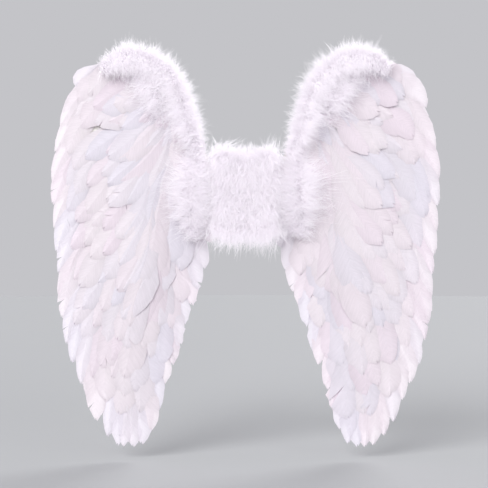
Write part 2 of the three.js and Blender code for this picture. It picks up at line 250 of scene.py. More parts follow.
for lining_name, body in [
    ("right_wing_lining", "right_wing"), ("left_wing_lining", "left_wing"), ("back_lining", "harness"),
]:
    bm = outline_of(lining_name)
    sum(f.calc_area() for f in bm.faces) * 1e-6
    corners = [v.co for v in bm.verts]
    ruled(bm, 6)
    points = np.array([v.co for v in bm.verts])
    inside = rim_distance(bm, points)
    for vert, depth in zip(bm.verts, inside):
        waves = noise.noise(vert.co * 0.035) * 0.5 + noise.noise(vert.co * 0.11) * 0.18
        seam = math.exp(-(((depth - SEAM_INSET) / SEAM_WIDTH) ** 2))
        vert.co.y += min(depth / 10, 1) * waves * 0.7 - 0.35 * seam - 0.5 * math.exp(-((depth / 1.2) ** 2))
    bmesh.ops.recalc_face_normals(bm, faces=bm.faces)
    if sum(f.normal.y * f.calc_area() for f in bm.faces) < 0:
        bmesh.ops.reverse_faces(bm, faces=bm.faces)
    lining = keep(bm, lining_name.replace("lining", "felt"), felt)
    wall = lining.modifiers.new("thickness", "SOLIDIFY")
    wall.thickness = (FELT - 0.3) / 1000
    wall.offset = -1
    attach(lining, body)
    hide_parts(lining_name)

# ---- Hinge tapes ---------------------------------------------------------------------------------------------
# A cotton twill tape is glued across each gap between the back panel and a wing, and is the hinge they fold on.
# It is the one part that bends when a wing folds, so its middle is left unglued and is finely divided here.
# Real twill lines are too fine to show, so these are drawn coarser.
TAPE_THREAD = 1.6

twill, tree, shader = finish_of("cotton twill tape", 0.9)
where = add(tree, "TexCoord").outputs["Object"]
slanted = add(tree, "Mapping", {"Vector": where, "Rotation": (0, math.radians(45), 0)}).outputs["Vector"]
ribs = add(
    tree, "TexWave", {"Vector": slanted, "Scale": math.pi * 100 / TAPE_THREAD}, bands_direction="X"
).outputs["Fac"]
tones = add(tree, "ValToRGB", {"Fac": ribs})
tones.color_ramp.elements[0].color = linear("dedbe0")
tones.color_ramp.elements[1].color = linear("f3f1f4")
tree.links.new(tones.outputs["Color"], shader.inputs["Base Color"])
weave = add(tree, "Bump", {"Height": ribs, "Strength": 0.5, "Distance": 0.0002})
tree.links.new(weave.outputs["Normal"], shader.inputs["Normal"])

for side, word in ((1, "right"), (-1, "left")):
    low, high = (corner * 1000 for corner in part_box(f"{word}_hinge_tape"))
    middle = (low + high) / 2
    half = (high - low) / 2
    bm = bmesh.new()
    bmesh.ops.create_grid(bm, x_segments=24, y_segments=20, size=1)
    bmesh.ops.rotate(bm, verts=bm.verts, cent=(0, 0, 0), matrix=Matrix.Rotation(math.radians(90), 3, "X"))
    bmesh.ops.scale(bm, vec=(half.x - 0.3, 1, half.z - 0.3), verts=bm.verts)
    bmesh.ops.translate(bm, vec=middle, verts=bm.verts)
    for vert in bm.verts:
        vert.co.y += 0.12 * noise.noise(vert.co * 0.08)
    bmesh.ops.solidify(bm, geom=bm.faces[:], thickness=0.7)
    shift = middle.y - (max(v.co.y for v in bm.verts) + min(v.co.y for v in bm.verts)) / 2
    bmesh.ops.translate(bm, vec=(0, shift, 0), verts=bm.verts)
    bmesh.ops.recalc_face_normals(bm, faces=bm.faces)
    tape = keep(bm, f"{word}_twill_tape", twill)
    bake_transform(tape)
    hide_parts(f"{word}_hinge_tape")

# ---- Wire casings --------------------------------------------------------------------------------------------
# A strip of the same felt is sewn down over each wire with a row of stitches along both of its edges.
# It stands up over the wire as a soft round ridge about 7 mm wide and 7 mm high.
CASING_REACH = 8.0
casing_steps = 150

WING_ROOT = 60
card_edge = np.array([
    (60, -59), (88.4, -88.7), (116.2, -131.0), (139.0, -189.4), (159.2, -249.9), (178.2, -308.3), (197.2, -332.5),
    (216.1, -308.3), (232.6, -257.9), (246.5, -197.5), (257.9, -137.0), (265.5, -76.6), (270.5, -16.1), (271.0, 42.9),
    (269.0, 94.9), (262.9, 140.1), (250.3, 180.8), (230.0, 207.9), (204.7, 222.6), (179.4, 226), (151.6, 219.2),
    (127.6, 203.4), (109.9, 183.1), (98.5, 158.2), (92.2, 135.6), (85.8, 110.7), (75.7, 83.6), (60, 62),
])


def aside(line, distance):
    """Moves an open line sideways, to the left of the way it runs."""
    along = np.gradient(line, axis=0)
    along[0] = line[1] - line[0]
    along[-1] = line[-1] - line[-2]
    along /= np.linalg.norm(along, axis=1)[:, None]
    return line + distance * np.stack([-along[:, 1], along[:, 0]], axis=1)


def through(corners, count, closed=False):
    """`count` evenly spaced points on the smooth curve through these corners."""
    corners = np.array(corners, float)
    around = (
        np.concatenate([corners[-1:], corners, corners[:2]]) if closed
        else np.concatenate([corners[:1], corners, corners[-1:]])
    )
    fine = []
    for a, b, c, d in zip(around, around[1:], around[2:], around[3:]):
        for t in np.linspace(0, 1, 12, endpoint=False):
            fine.append(
                0.5 * (2 * b + (c - a) * t + (2 * a - 5 * b + 4 * c - d) * t**2 + (3 * b - a - 3 * c + d) * t**3)
            )
    if not closed:
        fine.append(corners[-1])
    fine = np.array(fine)
    run = np.concatenate([[0], np.cumsum(np.linalg.norm(np.diff(fine, axis=0), axis=1))])
    spots = np.linspace(0, run[-1], count)
    return np.stack([np.interp(spots, run, fine[:, i]) for i in range(corners.shape[1])], axis=1)


inset = aside(card_edge, 14)
root_x = WING_ROOT + 14
wire_corners = [
    (root_x, -1.5), (root_x, -27.5), (root_x + 4, -45), *inset[2:5], (197.2, -274.5), *inset[8:-3],
    (root_x + 5, 62), (root_x, 27.5), (root_x, 1.5),
]
wire_line = through(wire_corners, casing_steps + 1)
casing_across = [
    (-1.0, 0.05), (-0.96, 0.75), (-0.72, 0.6), (-0.6, 0.7), (-0.46, 2.2), (-0.4, 4.2), (-0.24, 5.8), (0, 6.25),
    (0.24, 5.8), (0.4, 4.2), (0.46, 2.2), (0.6, 0.7), (0.72, 0.6), (0.96, 0.75), (1.0, 0.05),
]


def laid_along(line, across, side):
    """A strip with the section `across` (share of its reach, height over the lining) laid along a line on it."""
    bm = bmesh.new()
    bmesh.ops.create_grid(bm, x_segments=len(across) - 1, y_segments=len(line) - 1, size=1)
    bm.verts.ensure_lookup_table()
    left = aside(line, CASING_REACH) - line
    for row, (point, reach) in enumerate(zip(line, left)):
        for column, (share, height) in enumerate(across):
            pucker = 0.25 * noise.noise(Vector((*point, column)) * 0.12) if abs(share) < 0.5 else 0
            x, z = point + share * reach
            bm.verts[row * len(across) + column].co = (side * x, LINING_BACK + height + pucker, z)
    bmesh.ops.recalc_face_normals(bm, faces=bm.faces)
    if sum(f.normal.y for f in bm.faces) < 0:
        bmesh.ops.reverse_faces(bm, faces=bm.faces)
    return bm


for side, word in ((1, "right"), (-1, "left")):
    casing = keep(laid_along(wire_line, casing_across, side), f"{word}_felt_casing", felt)
    wall = casing.modifiers.new("thickness", "SOLIDIFY")
    wall.thickness = 0.0007
    wall.offset = -1
    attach(casing, f"{word}_wing")
    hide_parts(f"{word}_wire_casing")

# ---- Stitching ---------------------------------------------------------------------------------------------------
# White polyester thread: a running stitch round each lining, and one along both edges of each wire casing.
# Each stitch is a short loop of thread about 3 mm long that dives into the felt at both ends.
# Real thread and its twist are too fine to show, so both are drawn coarser.
STITCH = 3.0
STITCH_GAP = 1.4
THREAD = 0.55
TWIST = 1.2

thread, tree, shader = finish_of("polyester thread", 0.5)
where = add(tree, "TexCoord").outputs["Object"]
twist = add(
    tree, "TexWave", {"Vector": where, "Scale": math.pi * 100 / TWIST, "Distortion": 1.0}, bands_direction="DIAGONAL"
).outputs["Fac"]
tones = add(tree, "ValToRGB", {"Fac": twist})
tones.color_ramp.elements[0].color = linear("e3e1e6")
tones.color_ramp.elements[1].color = linear("f7f6f8")
tree.links.new(tones.outputs["Color"], shader.inputs["Base Color"])


def copies(bm, count):
    """`count` copies of one small mesh, all in the same place, as one mesh whose points come copy by copy."""
    single = bpy.data.meshes.new("single")
    bm.to_mesh(single)
    bm.free()
    holder = bpy.data.objects.new("holder", single)
    scene.collection.objects.link(holder)
    repeat = holder.modifiers.new("copies", "ARRAY")
    repeat.count = count
    repeat.use_relative_offset = False
    mesh = bpy.data.meshes.new_from_object(holder.evaluated_get(bpy.context.evaluated_depsgraph_get()))
    bpy.data.objects.remove(holder)
    return mesh


def points_of(mesh, count):
    """The points of a mesh of `count` copies, one row for each copy."""
    flat = np.zeros(len(mesh.vertices) * 3, np.float32)
    mesh.vertices.foreach_get("co", flat)
    return flat.reshape(count, -1, 3).astype(float)


def settle(mesh, points, name, material):
    """Gives the copies their places, in millimetres, and makes them one object in metres."""
    mesh.vertices.foreach_set("co", (points * 0.001).astype(np.float32).ravel())
    mesh.update()
    mesh.name = name
    mesh.shade_smooth()
    mesh.materials.clear()
    mesh.materials.append(material)
    made = bpy.data.objects.new(name, mesh)
    scene.collection.objects.link(made)
    return made


def stitches(name, line, level):
    """A row of stitches along a line of points (x, z), lying at `level` of y, or at a level for each point."""
    run = np.concatenate([[0], np.cumsum(np.linalg.norm(np.diff(line, axis=0), axis=1))])
    count = int(run[-1] / (STITCH + STITCH_GAP))
    bm = bmesh.new()
    bmesh.ops.create_uvsphere(bm, u_segments=6, v_segments=5, radius=1)
    mesh = copies(bm, count)
    local = points_of(mesh, count)
    spots = (np.arange(count) + 0.5) * run[-1] / count
    along = spots[:, None] + local[:, :, 2] * STITCH / 2
    heights = np.interp(along, run, np.broadcast_to(level, run.shape))
    centre = np.stack([np.interp(along, run, line[:, i]) for i in (0, 1)], axis=-1)
    ahead = np.stack([np.interp(along + 0.5, run, line[:, i]) for i in (0, 1)], axis=-1) - centre
    ahead /= np.maximum(np.linalg.norm(ahead, axis=-1, keepdims=True), 1e-9)
    sideways = np.stack([-ahead[..., 1], ahead[..., 0]], axis=-1)
    flat = centre + sideways * local[..., :1] * THREAD / 2
    dive = 0.55 * local[..., 2] ** 2
    depth = heights + THREAD / 2 * local[..., 1] - dive
    made = settle(mesh, np.stack([flat[..., 0], depth, flat[..., 1]], axis=-1), name, thread)
    return made


for side, word in ((1, "right"), (-1, "left")):
    mirror = np.array([side, 1])
    seam_line = through(aside(card_edge, SEAM_INSET + 1.5)[1:-1], 400) * mirror
    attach(stitches(f"{word}_lining_stitches", seam_line, LINING_BACK - 0.1), f"{word}_wing")
    for edge, share in (("inner", 0.84), ("outer", -0.84)):
        edge_line = aside(wire_line, share * CASING_REACH) * mirror
        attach(stitches(f"{word}_{edge}_casing_stitches", edge_line, LINING_BACK + 0.8), f"{word}_wing")

# ---- Back pad ------------------------------------------------------------------------------------------------------
# A 4 mm foam pad in a brushed polyester cover lies between the two arm loops and is sewn down all round.
# The cover is drawn in at the seam, so the pad is crowned, with a flat flange outside the stitches.
PAD_HALF_WIDTH = 19.0
PAD_HALF_HEIGHT = 52.0
PAD_SEAM = 3.5

brushed, tree, shader = finish_of("brushed polyester", 0.95)
where = add(tree, "TexCoord").outputs["Object"]
knit = add(tree, "TexVoronoi", {"Vector": where, "Scale": 1000 / 1.3}, distance="EUCLIDEAN").outputs["Distance"]
tones = add(tree, "ValToRGB", {"Fac": knit})
tones.color_ramp.elements[0].color = linear("f2f0f4")
tones.color_ramp.elements[1].color = linear("dddbe1")
tree.links.new(tones.outputs["Color"], shader.inputs["Base Color"])
pile = add(tree, "Bump", {"Height": knit, "Strength": 0.4, "Distance": 0.0003}, invert=True)
tree.links.new(pile.outputs["Normal"], shader.inputs["Normal"])
shader.inputs["Sheen Weight"].default_value = 0.3
shader.inputs["Sheen Roughness"].default_value = 0.5


def rounded(u, v, power):
    """Where a point of the square from -1 to 1 goes on the rounded rectangle that fills it."""
    long_side = max(abs(u), abs(v))
    if long_side < 1e-6:
        return 0.0, 0.0
    shrink = long_side / (abs(u) ** power + abs(v) ** power) ** (1 / power)
    return u * shrink, v * shrink


bm = bmesh.new()
bmesh.ops.create_grid(bm, x_segments=20, y_segments=46, size=1)
for vert in bm.verts:
    rim = max(abs(vert.co.x), abs(vert.co.y))
    u, v = rounded(vert.co.x, vert.co.y, 9)
    gap = min(PAD_HALF_WIDTH * (1 - abs(u)), PAD_HALF_HEIGHT * (1 - abs(v)))
    if gap < PAD_SEAM:
        height = 1.1 - 0.5 * math.exp(-(((gap - PAD_SEAM) / 1.2) ** 2))
    else:
        height = 0.6 + 3.3 * (1 - math.exp(-(gap - PAD_SEAM) / 3.2))
    place = Vector((u * PAD_HALF_WIDTH, 0, v * PAD_HALF_HEIGHT))
    place.y = -4.0 + height + 0.18 * noise.noise(place * 0.12) * min(gap / 4, 1)
    vert.co = place
bmesh.ops.recalc_face_normals(bm, faces=bm.faces)
if sum(f.normal.y for f in bm.faces) < 0:
    bmesh.ops.reverse_faces(bm, faces=bm.faces)
bottom = bmesh.ops.extrude_face_region(bm, geom=[e for e in bm.edges if e.is_boundary])["geom"]
for vert in (g for g in bottom if isinstance(g, bmesh.types.BMVert)):
    vert.co.y = -4.0
bmesh.ops.holes_fill(bm, edges=[e for e in bm.edges if e.is_boundary], sides=0)
bmesh.ops.recalc_face_normals(bm, faces=bm.faces)
pad = keep(bm, "back_cushion", brushed)
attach(pad, "harness")
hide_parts("back_pad")

pad_rim = []
for step in range(240):
    turn = step / 240 * 2 * math.pi
    u, v = math.cos(turn), math.sin(turn)
    grow = max(abs(u), abs(v))
    u, v = rounded(u / grow, v / grow, 9)
    pad_rim.append((u * (PAD_HALF_WIDTH - PAD_SEAM), v * (PAD_HALF_HEIGHT - PAD_SEAM)))
pad_rim.append(pad_rim[0])
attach(stitches("pad_stitches", np.array(pad_rim), -3.2), "harness")

# ---- Arm loops ----------------------------------------------------------------------------------------------------
# Each loop is one length of 20 mm white braided elastic, its ends sewn flat on the lining with a crossed box stitch.
# Braided elastic has fine ribs along its length, a firmer rounded edge, and slight ripples across.
# Real ribs and picks are too fine to show, so these are drawn coarser.
STRAP_X = 32.0
STRAP_PIVOT = 7.2
STRAP_SPLAY = math.radians(35)
STRAP_DEPTH = 106.0
STRAP_WIDTH = 20.0
STRAP_THICKNESS = 1.4
RIB = 2.2
PICK = 1.8

elastic, tree, shader = finish_of("braided elastic", 0.7)
strap_uv = add(tree, "UVMap", uv_map="UVMap").outputs["UV"]
ribs = add(
    tree, "TexWave", {"Vector": strap_uv, "Scale": math.pi * 100 / RIB, "Distortion": 0.0}, bands_direction="X"
).outputs["Fac"]
picks = add(
    tree, "TexWave", {"Vector": strap_uv, "Scale": math.pi * 100 / PICK, "Distortion": 0.3}, bands_direction="Y"
).outputs["Fac"]
cloth = add(tree, "Math", {0: ribs, 1: picks}, operation="MULTIPLY").outputs["Value"]
tones = add(tree, "ValToRGB", {"Fac": cloth})
tones.color_ramp.elements[0].color = linear("d5d3d8")
tones.color_ramp.elements[1].position = 0.6
tones.color_ramp.elements[1].color = linear("f4f3f5")
tree.links.new(tones.outputs["Color"], shader.inputs["Base Color"])
weave = add(tree, "Bump", {"Height": cloth, "Strength": 0.6, "Distance": 0.0003})
tree.links.new(weave.outputs["Normal"], shader.inputs["Normal"])

upper = [(0, 45), (5.3, 56.1), (19.1, 61), (47.7, 61), (80.6, 52.5), (99.6, 32.9)]
loop_side = [(out, up) for out, up in upper] + [(STRAP_DEPTH, 0)] + [(out, -up) for out, up in reversed(upper)]
sewn_level = LINING_BACK + 0.6 + STRAP_THICKNESS / 2 - STRAP_PIVOT
sewn_side = [(sewn_level, 3), (sewn_level, 12), (sewn_level, 21), (sewn_level + 1.5, 27), (-4.5, 33.5), (-0.8, 39)]
strap_side = sewn_side + loop_side + [(out, -up) for out, up in reversed(sewn_side)]
strap_path = through(strap_side, 181)

for side, word in ((1, "right"), (-1, "left")):
    bm = bmesh.new()
    uv = bm.loops.layers.uv.new("UVMap")
    columns = 12
    bmesh.ops.create_grid(bm, x_segments=columns, y_segments=len(strap_path) - 1, size=1)
    bm.verts.ensure_lookup_table()
    run = np.concatenate([[0], np.cumsum(np.linalg.norm(np.diff(strap_path, axis=0), axis=1))])
    for row, (out, up) in enumerate(strap_path):
        lean = STRAP_SPLAY * min(max((abs(up) - 24) / 20, 0), 1) if out < 6 else STRAP_SPLAY
        lean = lean if out > -6 else 0.0
        outward = Vector((side * math.sin(STRAP_SPLAY), math.cos(STRAP_SPLAY), 0)) if out > 0 else Vector((0, 1, 0))
        across = Vector((math.cos(lean), -side * math.sin(lean), 0))
        centre = Vector((side * STRAP_X, STRAP_PIVOT, up)) + outward * out
        for column in range(columns + 1):
            share = column / columns * 2 - 1
            bow = 0.35 * math.sin(row * 0.9 + column) * abs(share) ** 4
            vert = bm.verts[row * (columns + 1) + column]
            vert.co = centre + across * share * STRAP_WIDTH / 2 + outward * bow
            vert.index = row * (columns + 1) + column
    for face in bm.faces:
        for loop in face.loops:
            row, column = divmod(loop.vert.index, columns + 1)
            loop[uv].uv = (column / columns * STRAP_WIDTH / 1000, run[row] / 1000)
    bmesh.ops.recalc_face_normals(bm, faces=bm.faces)
    bmesh.ops.solidify(bm, geom=bm.faces[:], thickness=STRAP_THICKNESS)
    bmesh.ops.recalc_face_normals(bm, faces=bm.faces)
    strap = keep(bm, f"{word}_elastic_loop", elastic)
    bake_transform(strap)
    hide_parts(f"{word}_arm_loop", f"{word}_upper_sewn_end", f"{word}_lower_sewn_end")
    for up, place in ((1, "upper"), (-1, "lower")):
        box = [(-7, 5), (7, 5), (7, 21), (-7, 21), (-7, 5), (7, 21), (7, 5), (-7, 21)]
        corners = np.array([(side * (STRAP_X + x), up * z) for x, z in box], float)
        path = np.concatenate(
            [np.linspace(a, b, 12, endpoint=False) for a, b in zip(corners, corners[1:])] + [corners[-1:]]
        )
        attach(stitches(f"{word}_{place}_box_stitches", path, LINING_BACK + 1.5 + STRAP_THICKNESS), "harness")

# ---- Feathers ------------------------------------------------------------------------------------------------------
# White goose feathers, up to 130 mm long, are glued to the card in seven overlapping rows that follow its edge.
# Each has a stiff pale shaft, a narrow outer and a broad inner vane, rounded at the tip, and some vanes have split.
ROWS = 7
ROW_SHARE = 1 / 7.5
ROW_STEP = 2.0
FEATHER_LEVEL = 10.9
FAN_HEIGHT = 119.8
FAN_SHARE = 0.45
BARB_ANGLE = 42.0

tip_line = through([
    (63.1, -46.3), (58.5, -76.6), (69.9, -122.9), (82.0, -162.0), (97.2, -199.9), (107.1, -237.8), (121.0, -276.9),
    (136.4, -315.1), (146.0, -353.8), (163.0, -391.7), (190.8, -403), (217.4, -391.7), (244.0, -353.8), (259.1, -315.1),
    (276.8, -276.9), (288.7, -237.8), (295.3, -199.9), (299.1, -162.0), (302.1, -122.9), (305.9, -80.6), (310.0, -33.9),
    (311, 5.0), (310.0, 42.9), (304.9, 82.0), (298.1, 112.1), (290.0, 145.1), (270.0, 184.0), (246.0, 200.0),
], 600)
# How the feathers lie: degrees below level, outwards, at places (x, z) on the right wing.
lie = np.array([
    (150, 215, 8), (200, 205, 20), (240, 190, 35), (262, 165, 48), (280, 130, 58), (292, 95, 65), (300, 50, 70),
    (303, 0, 72), (303, -50, 74), (300, -100, 75), (297, -170, 77), (285, -240, 80), (262, -310, 83), (235, -360, 86),
    (192, -400, 90), (165, -385, 92), (145, -340, 97), (135, -300, 100), (118, -260, 102), (104, -220, 103),
    (92, -180, 104), (78, -140, 104), (68, -110, 104), (58, -80, 98), (70, -40, 98), (220, 125, 20), (167, 179, 20),
    (230, 77, 36), (185, 52, 40), (150, 100, 45), (135, 37, 62), (130, 12, 80), (133, -45, 84), (195, -40, 53),
    (235, -15, 38), (250, -70, 47), (195, -125, 56), (240, -140, 54), (195, -165, 62), (240, -190, 62), (112, -110, 88),
    (205, -270, 70), (170, -270, 89), (150, -200, 86), (230, -250, 72), (90, 0, 100), (85, 50, 105), (100, 100, 100),
    (180, -330, 89), (210, -340, 81),
], float)


def lie_at(points):
    gaps = ((points[:, None, :] - lie[:, :2]) ** 2).sum(-1)
    weights = 1 / (gaps + 18**2) ** 2
    return np.radians((weights * lie[:, 2]).sum(-1) / weights.sum(-1))


def on_card(points):
    """Whether each point is clear of the wing's top and inner edge, where a quill would show."""
    heights = card_edge[:19:-1, 1]
    edge_x = np.interp(points[:, 1], heights, card_edge[:19:-1, 0]) + 9
    return (points[:, 1] < 214) & ((points[:, 1] < 60) | (points[:, 0] > edge_x))


def heading(angles):
    return np.stack([np.cos(angles), -np.sin(angles)], axis=-1)


goose, tree, shader = finish_of("goose feather", 0.62)
vane_uv = add(tree, "UVMap", uv_map="UVMap").outputs["UV"]
parts = add(tree, "SeparateXYZ", {"Vector": vane_uv})
from_shaft = add(
    tree, "MapRange", {"Value": parts.outputs["X"], "From Min": 0.0, "From Max": 1.0, "To Min": -1.0, "To Max": 1.0}
)
reach = add(tree, "Math", {0: from_shaft.outputs["Result"]}, operation="ABSOLUTE").outputs["Value"]
tone = add(tree, "Attribute", attribute_name="tone").outputs["Fac"]
barb_spot = add(tree, "CombineXYZ", {"X": reach, "Y": parts.outputs["Y"], "Z": tone})
stretched = add(tree, "Mapping", {"Vector": barb_spot.outputs["Vector"], "Scale": (1.5, 70.0, 40.0)}).outputs["Vector"]
barbs = add(tree, "TexNoise", {"Vector": stretched, "Scale": 1.0, "Detail": 3.0, "Roughness": 0.7}).outputs["Fac"]
whites = add(tree, "ValToRGB", {"Fac": tone})
whites.color_ramp.elements[0].color = linear("efe3ec")
whites.color_ramp.elements[1].color = linear("e8e4ee")
middle_white = whites.color_ramp.elements.new(0.5)
middle_white.color = linear("f1e9ee")
barb_streaks_and_painted_shade = add(
    tree, "MapRange", {"Value": barbs, "From Min": 0.3, "From Max": 0.7, "To Min": 0.86, "To Max": 1.0}
).outputs["Result"]
# Painted shade: the vane colour darkens to 0.91 towards its rim, standing in for the shading along overlapping feather
# edges.
rim = add(
    tree, "MapRange", {"Value": reach, "From Min": 0.5, "From Max": 1.0, "To Min": 1.0, "To Max": 0.91}
).outputs["Result"]
# Painted shade: the vane colour darkens to 0.93 towards its root, where the feathers of the row above cover it and
# would shade it.
painted_root_shade = add(
    tree, "MapRange", {"Value": parts.outputs["Y"], "From Min": 0.3, "From Max": 0.8, "To Min": 0.93, "To Max": 1.0}
)
# The barb streaks are multiplied here by the painted rim shade and the painted root shade.
barb_streaks_and_painted_shade = add(tree, "Math", {0: barb_streaks_and_painted_shade, 1: rim}, operation="MULTIPLY").outputs["Value"]
barb_streaks_and_painted_shade = add(tree, "Math", {0: barb_streaks_and_painted_shade, 1: painted_root_shade.outputs["Result"]}, operation="MULTIPLY").outputs["Value"]
shaded = add(
    tree, "Mix", {0: 1.0, 6: whites.outputs["Color"], 7: barb_streaks_and_painted_shade}, data_type="RGBA", blend_type="MULTIPLY"
).outputs[2]
tree.links.new(shaded, shader.inputs["Base Color"])
grain = add(tree, "Bump", {"Height": barbs, "Strength": 0.5, "Distance": 0.0004})
tree.links.new(grain.outputs["Normal"], shader.inputs["Normal"])
shader.inputs["Sheen Weight"].default_value = 0.15
through_light = add(tree, "BsdfTranslucent", {"Color": linear("ece3ea")})
vane_mix = add(tree, "MixShader", {0: 0.25, 1: shader.outputs["BSDF"], 2: through_light.outputs["BSDF"]})
tree.links.new(vane_mix.outputs["Shader"], tree.nodes["Material Output"].inputs["Surface"])

vane_across = np.array([-1, -0.5, -0.05, 0, 0.05, 0.5, 1])
vane_along = np.array([0, 0.1, 0.24, 0.4, 0.55, 0.68, 0.79, 0.88, 0.95, 1.0])


def one_feather():
    """A flat grid of barb lines, x from inner to outer vane and y along the shaft, with three places to split."""
    bm = bmesh.new()
    uv = bm.loops.layers.uv.new("UVMap")
    bmesh.ops.create_grid(bm, x_segments=6, y_segments=9, size=1)
    for vert in bm.verts:
        column = round((vert.co.x + 1) * 3)
        row = round((vert.co.y + 1) * 4.5)
        vert.co = (vane_across[column], vane_along[row], 0)
    for face in bm.faces:
        for loop in face.loops:
            loop[uv].uv = (loop.vert.co.x * 0.5 + 0.5, loop.vert.co.y)
    for mark, (row, outer) in enumerate(((4, False), (6, True), (7, False)), start=1):
        level = vane_along[row]
        cut = [
            e for e in bm.edges
            if all(abs(v.co.y - level) < 1e-6 and (v.co.x if outer else -v.co.x) > 0.04 for v in e.verts)
        ]
        freed = bmesh.ops.split_edges(bm, edges=cut)["edges"]
        for vert in {v for e in freed for v in e.verts}:
            if abs(vert.co.x) > 0.3:
                above = sum(f.calc_center_median().y for f in vert.link_faces) / len(vert.link_faces) > level
                vert.co.z = mark if above else -mark
    return bm


def feathers(name, body, side, tips, outward, lengths, widths, levels, tilts, curls, ragged_share, seed):
    """One row of feathers: where each tip reaches, the way out from the row there, and each one's size and set."""
    random = np.random.default_rng(seed)
    count = len(tips)
    mesh = copies(one_feather(), count)
    local = points_of(mesh, count)
    across = local[..., 0]
    along = local[..., 1]
    mark = np.abs(local[..., 2]).round().astype(int)
    apart = np.sign(local[..., 2])
    sway = random.normal(0, math.radians(4), count)

    ahead = heading(lie_at(tips) + sway)
    leading = np.stack([-ahead[:, 1], ahead[:, 0]], axis=1)
    over = (ahead * outward).sum(1)
    beside = (leading * outward).sum(1)
    centre = tips - outward * np.sqrt((14 * over) ** 2 + (0.06 * widths * beside) ** 2)[:, None]
    end = centre + ahead * 12
    steps = 30
    for trimmed in (False, True):
        way = [end]
        turns = [lie_at(end) + sway]
        for _ in range(steps):
            way.append(way[-1] - heading(turns[-1]) * (lengths / steps)[:, None])
            turns.append(lie_at(way[-1]) + sway)
        if not trimmed:
            kept = np.cumprod([on_card(spots) for spots in way], axis=0).sum(axis=0)
            lengths = lengths * np.maximum(kept, 8) / (steps + 1)
    way = np.array(way[::-1])
    turns = np.array(turns[::-1])
    spot = along * steps
    low = np.clip(spot.astype(int), 0, steps - 1)
    part = (spot - low)[..., None]
    which = np.arange(count)[:, None]
    shaft = way[low, which] * (1 - part) + way[low + 1, which] * part
    turn = turns[low, which] * (1 - part[..., 0]) + turns[low + 1, which] * part[..., 0]
    ahead = heading(turn)
    leading = np.stack([-ahead[..., 1], ahead[..., 0]], axis=-1)

    share = np.where(across > 0, 0.42, 0.58)
    barb = share * widths[:, None] / math.sin(math.radians(BARB_ANGLE))
    grown = np.interp(along, [0, 0.08, 0.2, 0.34, 1], [0.03, 0.12, 0.8, 1, 1])
    shorter = 1 - 0.82 * np.clip((along - 0.46) / 0.54, 0, 1) ** 1.7
    ragged = 1 + random.normal(0, 0.035, across.shape) * (np.abs(across) > 0.9)
    barb = barb * grown * shorter * ragged * np.abs(across)
    slant = np.radians(BARB_ANGLE - 27 * np.clip((along - 0.85) / 0.15, 0, 1) ** 1.5)
    torn = random.random((count, 3)) < np.array([0.18, 0.22, 0.2]) * ragged_share
    gape = torn * random.uniform(1.0, 4.5, (count, 3))
    opening = np.concatenate([np.zeros((count, 1)), gape], axis=1)[which, mark] * apart * np.abs(across) ** 1.3
    slant = slant - np.radians(opening * 2.2)
    flat = shaft + (barb * np.cos(slant) + opening * 0.4)[..., None] * ahead
    flat = flat + (barb * np.sin(slant) * np.sign(across))[..., None] * leading

    sideways = ((flat - shaft) * leading).sum(-1)
    bow = random.uniform(1.4, 2.8, (count, 1))
    phase = random.uniform(0, 6.28, (count, 1))
    wave = 0.45 * np.sin(along * random.uniform(5, 9, (count, 1)) + phase) * np.abs(across)
    ridge = 0.45 * (1 - along) * (np.abs(across) < 0.01) + 0.1
    height = levels[:, None] + tilts[:, None] * sideways - bow * np.abs(across) ** 1.7 * grown
    height = height + ridge + wave - 1.6 * (1 - along) - curls[:, None] * np.clip((along - 0.35) / 0.65, 0, 1) ** 2
    points = np.stack([side * flat[..., 0], -height, flat[..., 1]], axis=-1)
    made = settle(mesh, points, name, goose)
    if side > 0:
        made.data.flip_normals()
    shades = made.data.attributes.new("tone", "FLOAT", "POINT")
    shades.data.foreach_set("value", np.repeat(random.random(count), local.shape[1]).astype(np.float32))
    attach(made, body)
    return made


def smoothstep(x, low, high):
    t = np.clip((x - low) / (high - low), 0, 1)
    return t * t * (3 - 2 * t)


def stepped_in(points, share):
    """Where a row's edge lies, a share of the way in from the wing's edge to the line that the rows close on."""
    height = FAN_HEIGHT + (points[:, 1] - FAN_HEIGHT) * FAN_SHARE
    middle = 58 + 253 * (0.53 - 0.07 * smoothstep(height, -149.1, 0))
    return points + (np.stack([middle, height], axis=1) - points) * share


